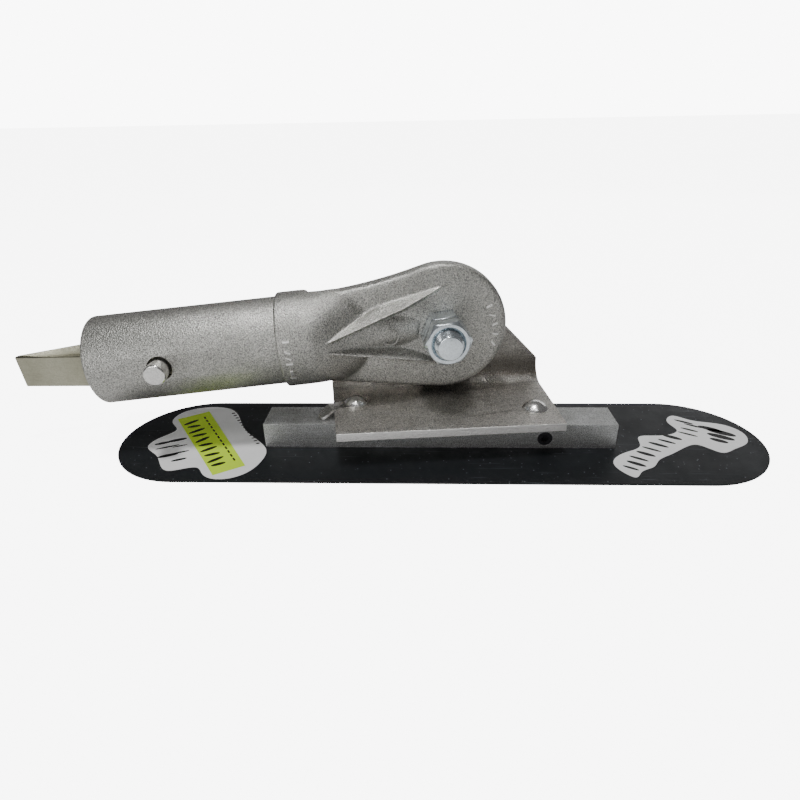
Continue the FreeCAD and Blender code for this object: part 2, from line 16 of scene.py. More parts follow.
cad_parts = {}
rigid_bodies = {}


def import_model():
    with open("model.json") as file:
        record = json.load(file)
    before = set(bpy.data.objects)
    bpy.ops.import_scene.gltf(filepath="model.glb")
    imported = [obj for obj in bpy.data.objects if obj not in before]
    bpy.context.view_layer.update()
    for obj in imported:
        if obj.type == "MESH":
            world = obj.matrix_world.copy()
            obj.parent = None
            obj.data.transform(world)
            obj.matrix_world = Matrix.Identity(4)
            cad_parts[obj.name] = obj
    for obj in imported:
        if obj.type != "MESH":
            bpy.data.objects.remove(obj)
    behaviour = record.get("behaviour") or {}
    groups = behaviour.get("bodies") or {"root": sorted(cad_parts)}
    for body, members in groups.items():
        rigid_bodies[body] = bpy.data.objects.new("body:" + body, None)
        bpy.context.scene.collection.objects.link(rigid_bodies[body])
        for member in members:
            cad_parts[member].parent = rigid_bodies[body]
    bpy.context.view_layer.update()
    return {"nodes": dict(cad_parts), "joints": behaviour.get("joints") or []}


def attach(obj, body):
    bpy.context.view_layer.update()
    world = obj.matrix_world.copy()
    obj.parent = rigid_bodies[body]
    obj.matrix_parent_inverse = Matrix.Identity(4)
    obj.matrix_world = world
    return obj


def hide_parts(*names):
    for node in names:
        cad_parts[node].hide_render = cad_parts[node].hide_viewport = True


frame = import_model()
nodes = frame["nodes"]
MM = 0.001
print("CAD nodes:", len(nodes))

# %% [markdown]
# Every operator in Blender acts on what is selected, and a freshly loaded model is selected
# all over. A few small helpers keep that in hand: one clears the selection, one picks a single
# object, one turns modifiers into real mesh, and one joins pieces into one object.

# %% Selection helpers


def deselect():
    """Clear the selection before an operator runs."""
    for obj in bpy.context.selected_objects:
        obj.select_set(False)
    bpy.context.view_layer.objects.active = None


def pick(*objs):
    """Select these objects and make the first one active."""
    deselect()
    for obj in objs:
        obj.select_set(True)
    bpy.context.view_layer.objects.active = objs[0]
    return objs[0]


def apply_modifiers(obj):
    """Turn every modifier on a piece into real mesh."""
    pick(obj)
    for modifier in list(obj.modifiers):
        bpy.ops.object.modifier_apply(modifier=modifier.name)


def settle(obj):
    """Put the object's place into its mesh, so it sits unturned at the origin."""
    pick(obj)
    bpy.ops.object.transform_apply(location=True, rotation=True, scale=True)
    return obj


def join(objs, name):
    """Make one object out of several."""
    whole = pick(*objs)
    bpy.ops.object.join()
    whole.name = name
    return whole


def carve(obj, tool, operation="DIFFERENCE"):
    """Cut a tool out of a piece, or join it on, and throw the tool away."""
    boolean = obj.modifiers.new("carve", "BOOLEAN")
    boolean.operation = operation
    boolean.solver = "EXACT"
    boolean.object = tool
    apply_modifiers(obj)
    pick(tool)
    bpy.ops.object.delete()
    pick(obj)
    return obj


def soften(obj, width_mm, segments=2, angle=30):
    """Round the sharp edges of a piece by a small bevel."""
    bevel = obj.modifiers.new("soft_edges", "BEVEL")
    bevel.width = width_mm * MM
    bevel.segments = segments
    bevel.limit_method = "ANGLE"
    bevel.angle_limit = math.radians(angle)
    bevel.use_clamp_overlap = True
    return bevel


def report(obj):
    """Say how many triangles a piece has."""
    count = sum(len(face.vertices) - 2 for face in obj.data.polygons)
    print(obj.name, count, "triangles")


# %% [markdown]
# The bracket stands a little askew on the bar, and the handle tilts down a little from level.
# Both directions come from the joints in the frame, so new pieces land exactly where the CAD
# has them. In the adapter's own frame, x runs along the handle, y towards the nuts and z up,
# with the pivot at zero, and one helper stands a finished piece in that frame.

# %% The adapter's own frame
joints = {joint["name"]: joint for joint in frame["joints"]}
pivot = Vector(joints["handle_tilt"]["pos_m"])
away = Vector(joints["handle_tilt"]["axis"]).normalized()
TILT = math.radians(4.34)
level = Vector((away.y, -away.x, 0.0))
handle = (-math.cos(TILT) * level - math.sin(TILT) * Vector((0, 0, 1))).normalized()
rise = away.cross(handle).normalized()
ADAPTER = Matrix.Translation(pivot) @ Matrix((handle, -away, rise)).transposed().to_4x4()
ALONG_HANDLE = (0, math.radians(90), 0)
ALONG_PIVOT = (math.radians(-90), 0, 0)
BARREL_RISE = 2.35
print("pivot", [round(v, 4) for v in pivot], "handle", [round(v, 4) for v in handle])


def stand(obj, body, name, *replaced, slot=None):
    """Stand a piece modelled in the adapter's frame in its place, and let it ride a body."""
    obj.name = name
    obj.matrix_world = ADAPTER @ obj.matrix_world
    settle(obj)
    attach(obj, body)
    if replaced:
        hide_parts(*replaced)
    report(obj)
    return obj


def rod(radius, start, end, place=(0, 0), axis="x", vertices=96):
    """A closed cylinder in the adapter's frame, from start to end along x or along y."""
    middle = (start + end) / 2
    centre = (middle, place[0], place[1]) if axis == "x" else (place[0], middle, place[1])
    deselect()
    bpy.ops.mesh.primitive_cylinder_add(
        vertices=vertices,
        radius=radius * MM,
        depth=abs(end - start) * MM,
        location=[v * MM for v in centre],
        rotation=ALONG_HANDLE if axis == "x" else ALONG_PIVOT,
    )
    return settle(bpy.context.object)


# %% [markdown]
# ## The casting's head
# The ear, the two ribs and the neck are poured in one piece, and liquid metal leaves no sharp
# inner corner anywhere. A copy of the CAD casting is cut off behind the collar, turned into an
# even skin of small faces by a voxel remesh, and smoothed, which fillets every inner corner and
# rounds every crest at once. Bevelling each edge by hand would never close up where ribs, neck
# and ear meet at shallow angles.

# %% Ear, ribs and neck
COLLAR_FACE = 75.4
pick(nodes["handle_adapter"])
bpy.ops.object.duplicate()
head = bpy.context.object
head.name = "casting_head"
bpy.ops.object.parent_clear(type="CLEAR_KEEP_TRANSFORM")
head.modifiers.clear()
bpy.ops.object.mode_set(mode="EDIT")
bpy.ops.mesh.select_all(action="SELECT")
bpy.ops.mesh.remove_doubles(threshold=0.000005)
bpy.ops.mesh.select_all(action="SELECT")
bpy.ops.mesh.bisect(
    plane_co=ADAPTER @ Vector((COLLAR_FACE * MM - 0.00002, 0, 0)),
    plane_no=handle,
    use_fill=True,
    clear_outer=True,
)
bpy.ops.object.mode_set(mode="OBJECT")
report(head)

remesh = head.modifiers.new("even_skin", "REMESH")
remesh.mode = "VOXEL"
remesh.voxel_size = 0.00048
smooth = head.modifiers.new("flow", "SMOOTH")
smooth.factor = 0.5
smooth.iterations = 3
apply_modifiers(head)

# %% [markdown]
# Three places flow more softly than the rest: the end of the collar, the swell where the round
# barrel fades into the flat-sided neck, and the rounded rim. Vertex groups tell a second Smooth
# modifier where to flow and how much, so the ribs between them stay crisp.

# %% Soft collar, swell and rim
COLLAR_END = 61.0
RIB_TIP_ALONG = 57.0
RIB_TIP_RISE = 1.6
to_adapter = ADAPTER.inverted()
points = [(to_adapter @ vertex.co) / MM for vertex in head.data.vertices]
turned = to_adapter.to_3x3()
edges = []
for point, vertex in zip(points, head.data.vertices):
    wall = abs((turned @ vertex.normal).y) < 0.8
    if wall and 2.5 < abs(point.y) < 4.97 and math.hypot(point.x, point.z) > 12 and point.x < 50:
        edges.append(point)
rim_points = KDTree(len(edges))
for index, point in enumerate(edges):
    rim_points.insert(point, index)
rim_points.balance()
zone = head.vertex_groups.new(name="run_out")
for vertex, point in zip(head.data.vertices, points):
    off_ribs = min(1.0, max(0.0, (abs(point.z - RIB_TIP_RISE) - 4.5) / 4))
    collar = min(1.0, 1.4 - abs(point.x - COLLAR_END + 3) / 9) * off_ribs
    upper_rib = RIB_TIP_RISE + (RIB_TIP_ALONG - point.x) * 0.317
    lower_rib = RIB_TIP_RISE - (RIB_TIP_ALONG - point.x) * 0.40
    swell = 0.0
    if 26 < point.x < 66:
        beside = max(point.z - upper_rib - 3.5, lower_rib - 3.0 - point.z)
        swell = min(1.0, beside / 3) * min(1.0, (point.x - 26) / 5) * min(1.0, (24 - abs(point.z)) / 3)
    near = rim_points.find(point)[2]
    rim = 0.55 - near / 4.2
    weight = min(1.0, max(collar, swell, rim))
    if weight > 0.02:
        zone.add([vertex.index], weight, "REPLACE")
flow = head.modifiers.new("run_out", "SMOOTH")
flow.factor = 0.5
flow.iterations = 90
flow.vertex_group = "run_out"
apply_modifiers(head)
head.vertex_groups.clear()
bpy.ops.object.shade_smooth()
report(head)
print("points on the rim's wall:", len(edges))

# %% [markdown]
# ## The hollow shank
# The shank is a plain turned-looking tube with a rounded nose, a blind bore and a round window
# for the button. It starts as a cylinder: its end face is inset and pushed inwards to make the
# bore, the rims are bevelled, and a boolean cuts the window, whose edge is then softened a little.

# %% Shank
SHANK_END = 160.6
SHANK_RADIUS = 20.5
BUTTON_AT = 127.8
shank = rod(SHANK_RADIUS, COLLAR_FACE - 1.2, SHANK_END, (0, BARREL_RISE), vertices=160)
bpy.ops.object.mode_set(mode="EDIT")
bpy.ops.mesh.select_mode(type="FACE")
bpy.ops.mesh.select_all(action="DESELECT")
bpy.ops.object.mode_set(mode="OBJECT")
for face in shank.data.polygons:
    face.select = face.normal.x > 0.9
bpy.ops.object.mode_set(mode="EDIT")
bpy.ops.mesh.inset(thickness=3.5 * MM)
bpy.ops.mesh.extrude_region_move(TRANSFORM_OT_translate={"value": (-62 * MM, 0, 0)})
bpy.ops.mesh.select_all(action="SELECT")
bpy.ops.mesh.normals_make_consistent(inside=False)
bpy.ops.object.mode_set(mode="OBJECT")
soften(shank, 1.3, 4, 40)
apply_modifiers(shank)
carve(shank, rod(5.6, 8, 24, (BUTTON_AT, BARREL_RISE), axis="y", vertices=64))
soften(shank, 0.3, 2, 35)
apply_modifiers(shank)
bpy.ops.object.shade_smooth_by_angle(angle=math.radians(35))
report(shank)

# %% [markdown]
# ## Raised foundry marks
# Castings carry raised size marks. Here they are plain bars that spell nothing. A helper models
# one short bar with rounded edges and turns it to follow the surface, and it is called for each
# place round the collar and along the ear's free edge, since the bars differ in size and lean.

# %% Foundry marks


def mark(length, width, centre, normal, along, lift=1.4):
    """A small raised bar with rounded corners that lies on a surface."""
    deselect()
    bpy.ops.mesh.primitive_cube_add(size=1)
    bar = bpy.context.object
    bar.scale = (length * MM, width * MM, lift * MM)
    bpy.ops.object.transform_apply(location=False, rotation=False, scale=True)
    soften(bar, 0.22, 3)
    apply_modifiers(bar)
    side = normal.cross(along).normalized()
    turn = Matrix((along.normalized(), side, normal.normalized())).transposed().to_4x4()
    bar.matrix_world = Matrix.Translation(Vector(centre) * MM) @ turn
    return settle(bar)


COLLAR_RADIUS = 22.225
EAR_HALF = 4.95
EAR_RISE = 0.75
STRAIGHT = (3.2, 1.0, 0.0)
LEANING = (2.8, 0.9, 0.5)
BLOCK = (1.5, 2.6, 0.0)
X_AXIS = Vector((1, 0, 0))
marks = []
for turn_deg, (length, width, lean) in (
    (16, STRAIGHT), (4, LEANING), (-3, LEANING), (-10, STRAIGHT), (-23, BLOCK), (-32, LEANING),
):
    around = math.radians(turn_deg)
    out = Vector((0, math.cos(around), math.sin(around)))
    tangent = Vector((0, -math.sin(around), math.cos(around)))
    foot = out * (COLLAR_RADIUS - 0.05) + Vector((COLLAR_FACE - 4.6, 0, BARREL_RISE))
    marks.append(mark(length, width, foot, out, X_AXIS + lean * tangent))
for turn_deg, reach, lean in (
    (159, 23.6, 0.0), (170, 23.8, 0.5), (181, 24.5, -0.5), (192, 25.1, 0.0), (203, 25.5, 0.6),
):
    around = math.radians(turn_deg)
    out = Vector((math.cos(around), 0, math.sin(around)))
    tangent = Vector((-math.sin(around), 0, math.cos(around)))
    foot = out * reach + Vector((0, EAR_HALF, EAR_RISE))
    marks.append(mark(3.0, 0.95, foot, Vector((0, 1, 0)), out + lean * tangent))

# %% [markdown]
# The ejector pin of the mould leaves a faint ring between the ribs. A torus that is sunk almost
# to its top gives that fine raised line.

# %% Ejector ring and the finished casting
deselect()
bpy.ops.mesh.primitive_torus_add(
    major_radius=3.7 * MM,
    minor_radius=0.36 * MM,
    major_segments=48,
    minor_segments=8,
    location=(25 * MM, 8.75 * MM, BARREL_RISE * MM - 1.6 * MM),
    rotation=(math.radians(90), 0, math.radians(5)),
)
ring = settle(bpy.context.object)
plain = join([shank, ring], "casting_shank")
plain_faces = len(plain.data.polygons)
fittings = join([plain] + marks, "casting_shank")
casting = stand(fittings, "adapter", "casting_shank", slot="cast_aluminium")
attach(head, "adapter")
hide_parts("handle_adapter")

# %% [markdown]
# ## The bolt's threaded end
# A helical thread shows where the bolt comes through the nuts. The Screw modifier sweeps one
# tooth of the thread round the axis and along it at the same time, just as a die cuts it. A
# plain shank, a chamfered end and the CAD's head size complete the bolt.

# %% Threaded bolt
PITCH = 1.95
BOLT_RADIUS = 6.35
INNER_NUT = 11.1
OUTER_NUT = 7.9
PROUD = 5.5
HEX_CORNER = 19.05 / math.sqrt(3)
TIP = EAR_HALF + INNER_NUT + OUTER_NUT + PROUD
deselect()
bpy.ops.mesh.primitive_plane_add(size=1)
tooth = bpy.context.object
bpy.ops.object.mode_set(mode="EDIT")
bpy.ops.mesh.select_mode(type="FACE")
bpy.ops.mesh.select_all(action="SELECT")
bpy.ops.mesh.delete(type="ONLY_FACE")
bpy.ops.object.mode_set(mode="OBJECT")
ROOT = BOLT_RADIUS - 1.05
outline = ((0.0, ROOT), (0.42, BOLT_RADIUS), (0.58, BOLT_RADIUS), (1.0, ROOT))
order = (0, 1, 3, 2)
for step, (along, out) in zip(order, outline):
    tooth.data.vertices[step].co = (out * MM, 0, along * PITCH * MM)
bpy.ops.object.mode_set(mode="EDIT")
bpy.ops.mesh.select_mode(type="EDGE")
bpy.ops.mesh.select_all(action="DESELECT")
bpy.ops.object.mode_set(mode="OBJECT")
for edge in tooth.data.edges:
    edge.select = set(edge.vertices) == {0, 2}
bpy.ops.object.mode_set(mode="EDIT")
bpy.ops.mesh.delete(type="EDGE")
bpy.ops.object.mode_set(mode="OBJECT")
screw = tooth.modifiers.new("thread", "SCREW")
screw.axis = "Z"
screw.screw_offset = PITCH * MM
screw.iterations = 7
screw.steps = 48
screw.render_steps = 48
screw.use_merge_vertices = True
screw.merge_threshold = 0.00001
apply_modifiers(tooth)
bpy.ops.object.mode_set(mode="EDIT")
bpy.ops.mesh.select_all(action="SELECT")
bpy.ops.mesh.normals_make_consistent(inside=False)
bpy.ops.object.mode_set(mode="OBJECT")
tooth.rotation_euler = (math.radians(-90), 0, 0)
tooth.location = (0, (TIP - 0.6 - 8 * PITCH) * MM, 0)
settle(tooth)
pin_end = rod(BOLT_RADIUS - 0.75, TIP - 2.0, TIP, axis="y", vertices=64)
soften(pin_end, 0.5, 3, 60)
core = rod(BOLT_RADIUS - 1.0, TIP - 18, TIP - 1.5, axis="y", vertices=48)
plain = rod(BOLT_RADIUS - 0.02, -16.4, TIP - 14, axis="y", vertices=64)
bolt_head = rod(HEX_CORNER, -24.36, -16.36, axis="y", vertices=6)
soften(bolt_head, 0.6, 3, 30)
for piece in (pin_end, bolt_head):
    apply_modifiers(piece)
bolt = join([plain, core, tooth, pin_end, bolt_head], "bolt")
bpy.ops.object.shade_smooth_by_angle(angle=math.radians(35))
stand(bolt, "float_body", "threaded_bolt", "pivot_bolt", slot="zinc_steel")

# %% [markdown]
# ## The outer nut
# A pressed hexagon nut has its corners turned away on the outer face and a wide countersink
# where the thread starts. A six-sided cylinder is trimmed by a flat cone for the corners, and a
# second cone cuts the countersink.

# %% Outer nut
NUT_BACK = EAR_HALF + INNER_NUT
NUT_FACE = NUT_BACK + OUTER_NUT
HEX_TURN = math.radians(33)
GAP = 0.02


def cone(radius_near, radius_far, start, end, vertices=96):
    """A cone round the pivot axis, from start to end along y."""
    deselect()
    bpy.ops.mesh.primitive_cone_add(
        vertices=vertices,
        radius1=radius_near * MM,
        radius2=radius_far * MM,
        depth=(end - start) * MM,
        location=(0, (start + end) / 2 * MM, 0),
        rotation=ALONG_PIVOT,
    )
    return settle(bpy.context.object)


def nut(back, face, sink):
    """A hexagon nut with turned corners and a countersunk hole."""
    body = rod(HEX_CORNER, back, face, axis="y", vertices=6)
    body.rotation_euler = (0, HEX_TURN, 0)
    settle(body)
    envelope = cone(22, 9.2, face - 12.6, face)
    carve(body, envelope, "INTERSECT")
    carve(body, rod(BOLT_RADIUS + 0.03, back - 1, face + 1, axis="y", vertices=64))
    if sink:
        carve(body, cone(BOLT_RADIUS - 0.4, BOLT_RADIUS + 1.5, face - 1.9, face + 0.02))
    soften(body, 0.25, 2, 30)
    apply_modifiers(body)
    bpy.ops.object.shade_smooth_by_angle(angle=math.radians(35))
    return body


outer = nut(NUT_BACK + GAP, NUT_FACE, True)
stand(outer, "float_body", "outer_nut", "jam_nut", slot="zinc_steel")
inner = nut(EAR_HALF + GAP, NUT_BACK - GAP, False)
stand(inner, "float_body", "inner_nut", "pivot_nut", slot="zinc_steel")

# %% [markdown]
# ## Softer edges on the CAD pieces
# No edge of real metal is perfectly sharp, and the thin bright line along an edge is what makes
# sawn bar and sheared plate read as metal. The CAD meshes stay as they are: a Weld modifier
# closes their loose triangles and a Bevel modifier rounds the edges by a few tenths.

# %% Weld and bevel


def dress(node, width_mm, segments=2, angle=30):
    """Round a CAD node's edges without touching its mesh."""
    weld = nodes[node].modifiers.new("weld", "WELD")
    weld.merge_threshold = 0.000002
    soften(nodes[node], width_mm, segments, angle)


dress("mount_bar", 0.35, 2, 40)
dress("angle_bracket", 0.45, 2, 40)
dress("blade", 0.25, 2, 50)
dress("spring_clip", 0.18, 2, 50)
dress("lock_tab_washer", 0.2, 2, 40)
dress("bar_set_screw", 0.2, 2, 40)
dress("bolt_washer", 0.3, 2, 50)
dress("snap_button", 0.9, 4, 50)
dress("pivot_spacer", 0.3, 2, 50)

# %% [markdown]
# ## Printed marks on the decals
# The die-cut films are covered in bold ink. The ink is modelled as very thin raised ovals and
# bars on the film, in abstract strokes that spell and show nothing, so they follow the blade
# into any other program without a picture file.

# %% Ink strokes
DECAL_TOP = 0.92
BAND_TOP = 1.04


def ink(place, length, width, turn_deg, top, corners=20):
    """One flat oval or bar of ink lying on a film."""
    deselect()
    bpy.ops.mesh.primitive_cylinder_add(vertices=corners, radius=0.5, depth=1)
    stroke = bpy.context.object
    if corners == 4:
        stroke.rotation_euler = (0, 0, math.radians(45))
        bpy.ops.object.transform_apply(location=False, rotation=True, scale=False)
        length, width = length * math.sqrt(2), width * math.sqrt(2)
    stroke.scale = (length * MM, width * MM, 0.03 * MM)
    bpy.ops.object.transform_apply(location=False, rotation=False, scale=True)
    stroke.rotation_euler = (0, 0, math.radians(turn_deg))
    stroke.location = (place[0] * MM, place[1] * MM, (top + 0.012) * MM)
    return settle(stroke)


strokes = []
BAND_TURN = -55.4
band_way = Vector((math.cos(math.radians(BAND_TURN)), math.sin(math.radians(BAND_TURN))))
band_side = Vector((-band_way.y, band_way.x))
band_middle = Vector((-110.4, -3.3))
for step, size, lean in (
    (-23, 8.0, 12), (-18, 6.5, -14), (-12.5, 8.4, 8), (-7.5, 7.0, -8), (-2, 7.6, 16),
    (3.5, 6.8, -12), (8.5, 8.2, 6), (14, 7.2, -10), (19.5, 8.0, 10), (24, 6.5, -6),
):
    spot = band_middle + band_way * step - band_side * 2.0
    strokes.append(ink(spot, size, 2.2, BAND_TURN + 90 + lean, BAND_TOP))
for step in range(-6, 7):
    spot = band_middle + band_way * step * 4.0 + band_side * 5.2
    strokes.append(ink(spot, 2.6, 0.8, BAND_TURN, BAND_TOP, 4))
    spot = Vector((-98.0, 8.0)) + band_way * step * 3.1 + band_side * 2.6
    strokes.append(ink(spot, 1.9, 1.0, BAND_TURN + 70, DECAL_TOP))
for spot, length, width in (
    ((-131.5, -6.0), 7.5, 2.2), ((-127.8, -9.5), 11.0, 1.3), ((-125.6, -3.0), 9.0, 2.4),
    ((-122.2, -8.5), 7.0, 1.0), ((-124.6, -17.0), 9.5, 2.6), ((-119.5, -14.0), 7.5, 1.3),
    ((-118.0, -20.5), 7.0, 1.8),
):
    strokes.append(ink(spot, length, width, 24, DECAL_TOP))
for spot, length, width in (
    ((134.0, 9.5), 11.0, 3.6), ((137.5, 6.0), 13.0, 4.2), ((135.5, 2.0), 12.0, 3.8),
    ((133.0, -1.6), 8.0, 3.0), ((124.0, 16.5), 9.0, 1.8), ((127.0, 12.6), 8.5, 1.6),
    ((123.5, 8.6), 8.0, 1.6), ((121.0, 4.4), 9.0, 1.5), ((112.5, 1.4), 9.0, 2.8),
    ((108.5, -2.6), 8.0, 1.8), ((103.5, -5.6), 9.0, 2.2), ((99.0, -9.6), 8.5, 1.6),
    ((95.0, -13.6), 8.5, 2.4), ((90.5, -17.6), 8.5, 1.8), ((88.0, -21.8), 8.5, 2.4),
    ((84.5, -25.2), 7.0, 1.6),
):
    strokes.append(ink(spot, length, width, -32, DECAL_TOP))
printed = join(strokes, "decal_ink")
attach(printed, "float_body")
report(printed)

# %% [markdown]
# ## Shared surface effects
# Two effects turn up in several finishes, so each is built once as a node group. "Grain" is the
# fine pebbled skin of a blasted casting, with pits, specks and a cloudy value for stains. "Drawn
# lines" are the long fine scratches that rolling, sawing and drawing leave along one direction.
# Each group only puts out masks and heights; the shader in each material uses them as it needs.

# %% Node group helpers


def new_group(name, inputs, outputs):
    """A shader node group with float or vector sockets, and its input and output nodes."""
    group = bpy.data.node_groups.new(name, "ShaderNodeTree")
    for label, kind, default in inputs:
        socket = group.interface.new_socket(name=label, in_out="INPUT", socket_type=kind)
        if default is not None:
            socket.default_value = default
    for label, kind in outputs:
        group.interface.new_socket(name=label, in_out="OUTPUT", socket_type=kind)
    entry = group.nodes.new("NodeGroupInput")
    leave = group.nodes.new("NodeGroupOutput")
    return group, entry, leave


def add(tree, kind, settings=None, **values):
    """A node with its settings and the values of its sockets."""
    node = tree.nodes.new(kind)
    for key, value in (settings or {}).items():
        setattr(node, key, value)
    for key, value in values.items():
        node.inputs[key.replace("_", " ")].default_value = value
    return node


def math_node(tree, operation, first, second, clamp=False):
    """One sum. Each side is a socket or a number."""
    node = add(tree, "ShaderNodeMath", {"operation": operation, "use_clamp": clamp})
    for slot, side in enumerate((first, second)):
        if isinstance(side, (int, float)):
            node.inputs[slot].default_value = side
        else:
            tree.links.new(side, node.inputs[slot])
    return node.outputs[0]


def span(tree, value, low, high, to_low=0.0, to_high=1.0):
    """Stretch the part of a value between low and high over a new range."""
    node = add(tree, "ShaderNodeMapRange", {"clamp": True})
    tree.links.new(value, node.inputs["Value"])
    for key, number in (("From Min", low), ("From Max", high), ("To Min", to_low), ("To Max", to_high)):
        node.inputs[key].default_value = number
    return node.outputs["Result"]


# %% [markdown]
# Grain is two patterns laid over each other: fine noise for the blasted skin and smooth cells for
# the pebbles under it. Sizes come in as millimetres, so a finish can be read like a drawing.

# %% Grain group
grain_group, entry, leave = new_group(
    "grain",
    [("Vector", "NodeSocketVector", None), ("Size mm", "NodeSocketFloat", 0.6)],
    [
        ("Height", "NodeSocketFloat"), ("Pits", "NodeSocketFloat"),
        ("Cloud", "NodeSocketFloat"), ("Specks", "NodeSocketFloat"),
    ],
)
size_up = math_node(grain_group, "DIVIDE", 1000.0, entry.outputs["Size mm"])
fine = add(grain_group, "ShaderNodeTexNoise", Detail=3.0, Roughness=0.65)
grain_group.links.new(entry.outputs["Vector"], fine.inputs["Vector"])
grain_group.links.new(size_up, fine.inputs["Scale"])
coarse = add(grain_group, "ShaderNodeTexVoronoi", {"feature": "SMOOTH_F1"}, Smoothness=0.4)
grain_group.links.new(entry.outputs["Vector"], coarse.inputs["Vector"])
grain_group.links.new(math_node(grain_group, "MULTIPLY", size_up, 0.8), coarse.inputs["Scale"])
cloud = add(grain_group, "ShaderNodeTexNoise", Scale=55.0, Detail=4.0, Roughness=0.6)
grain_group.links.new(entry.outputs["Vector"], cloud.inputs["Vector"])
pebbles = math_node(grain_group, "MULTIPLY", coarse.outputs["Distance"], 0.6)
height = math_node(grain_group, "ADD", fine.outputs["Fac"], pebbles)
grain_group.links.new(height, leave.inputs["Height"])
grain_group.links.new(span(grain_group, fine.outputs["Fac"], 0.42, 0.26), leave.inputs["Pits"])
grain_group.links.new(cloud.outputs["Fac"], leave.inputs["Cloud"])
speck = add(grain_group, "ShaderNodeTexNoise", Detail=1.0, Roughness=0.5)
grain_group.links.new(entry.outputs["Vector"], speck.inputs["Vector"])
grain_group.links.new(math_node(grain_group, "MULTIPLY", size_up, 1.3), speck.inputs["Scale"])
grain_group.links.new(span(grain_group, speck.outputs["Fac"], 0.36, 0.64), leave.inputs["Specks"])

# %% [markdown]
# Noise squeezed flat along one axis turns into long lines. A second, rarer one at a slant gives
# the odd handling scratch.

# %% Drawn lines group
lines_group, entry, leave = new_group(
    "drawn_lines",
    [("Vector", "NodeSocketVector", None), ("Pitch mm", "NodeSocketFloat", 0.4)],
    [("Lines", "NodeSocketFloat"), ("Scratches", "NodeSocketFloat")],
)
squeeze = add(lines_group, "ShaderNodeMapping", Scale=(0.02, 1.0, 1.0))
lines_group.links.new(entry.outputs["Vector"], squeeze.inputs["Vector"])
pitch = math_node(lines_group, "DIVIDE", 1000.0, entry.outputs["Pitch mm"])
streak = add(lines_group, "ShaderNodeTexNoise", Detail=4.0, Roughness=0.7)
lines_group.links.new(squeeze.outputs["Vector"], streak.inputs["Vector"])
lines_group.links.new(pitch, streak.inputs["Scale"])
lines_group.links.new(streak.outputs["Fac"], leave.inputs["Lines"])
rare = add(lines_group, "ShaderNodeTexNoise", Detail=2.0, Roughness=0.5)
tilt = add(lines_group, "ShaderNodeMapping", Scale=(0.05, 1.0, 1.0), Rotation=(0.3, 0.2, 0.5))
lines_group.links.new(entry.outputs["Vector"], tilt.inputs["Vector"])
lines_group.links.new(tilt.outputs["Vector"], rare.inputs["Vector"])
lines_group.links.new(math_node(lines_group, "MULTIPLY", pitch, 0.5), rare.inputs["Scale"])
lines_group.links.new(span(lines_group, rare.outputs["Fac"], 0.66, 0.74), leave.inputs["Scratches"])

# %% [markdown]
# ## The metals
# Each metal is one Principled shader fed by those groups. A table gives each its colour and how
# strongly grain, lines and stains show, and a single helper wires them, so that all the finishes
# stay related. The pattern's direction is turned by a Mapping node to follow the piece.

# %% Metal finishes


def metal(
    name, colour, dark, rough, rough_span, grain_mm, grain_bump, line_bump, stain,
    turn_deg=0.0, pit=0.35, level=1.0, bump_strength=0.5, pitch_mm=0.4, speckle=0.25,
):
    """A bare metal with grain, drawn lines, stains and pits."""
    material = bpy.data.materials.new(name)
    material.use_nodes = True
    tree = material.node_tree
    shader = tree.nodes["Principled BSDF"]
    shader.inputs["Metallic"].default_value = level
    place = add(tree, "ShaderNodeTexCoord")
    turn = add(tree, "ShaderNodeMapping", {"vector_type": "POINT"}, Rotation=(0, 0, math.radians(turn_deg)))
    turn.name = "turned"
    tree.links.new(place.outputs["Object"], turn.inputs["Vector"])
    grain = tree.nodes.new("ShaderNodeGroup")
    grain.node_tree = grain_group
    grain.inputs["Size mm"].default_value = grain_mm
    tree.links.new(place.outputs["Object"], grain.inputs["Vector"])
    lines = tree.nodes.new("ShaderNodeGroup")
    lines.node_tree = lines_group
    lines.inputs["Pitch mm"].default_value = pitch_mm
    tree.links.new(turn.outputs["Vector"], lines.inputs["Vector"])
    stains = math_node(tree, "MULTIPLY", span(tree, grain.outputs["Cloud"], 0.40, 0.66), stain)
    pits = math_node(tree, "MULTIPLY", grain.outputs["Pits"], pit)
    show = min(1.0, line_bump * 2.2)
    streaks = math_node(tree, "MULTIPLY", span(tree, lines.outputs["Lines"], 0.35, 0.65), show)
    dirt = math_node(tree, "ADD", stains, pits)
    mask = math_node(tree, "ADD", dirt, math_node(tree, "MULTIPLY", streaks, 0.35), clamp=True)
    blend = add(tree, "ShaderNodeMix", {"data_type": "RGBA"})
    blend.name = "base"
    blend.inputs[6].default_value = (*colour, 1)
    blend.inputs[7].default_value = (*dark, 1)
    tree.links.new(mask, blend.inputs[0])
    sparkle = add(tree, "ShaderNodeMix", {"data_type": "RGBA", "blend_type": "MULTIPLY"})
    sparkle.name = "sparkle"
    sparkle.inputs[0].default_value = 1.0
    tree.links.new(blend.outputs[2], sparkle.inputs[6])
    tree.links.new(span(tree, grain.outputs["Specks"], 0, 1, 1 - speckle, 1 + speckle), sparkle.inputs[7])
    tree.links.new(sparkle.outputs[2], shader.inputs["Base Color"])
    faint = math_node(tree, "MULTIPLY", lines.outputs["Lines"], 0.3)
    worn = math_node(tree, "ADD", grain.outputs["Cloud"], faint)
    rough_value = span(tree, worn, 0.45, 0.85, rough, rough + rough_span)
    tree.links.new(rough_value, shader.inputs["Roughness"])
    pebbled = math_node(tree, "MULTIPLY", grain.outputs["Height"], grain_bump)
    lined = math_node(tree, "MULTIPLY", lines.outputs["Lines"], line_bump)
    height = math_node(tree, "ADD", pebbled, lined)
    bump = add(tree, "ShaderNodeBump", Strength=bump_strength, Distance=0.0006)
    tree.links.new(height, bump.inputs["Height"])
    tree.links.new(bump.outputs["Normal"], shader.inputs["Normal"])
    return material


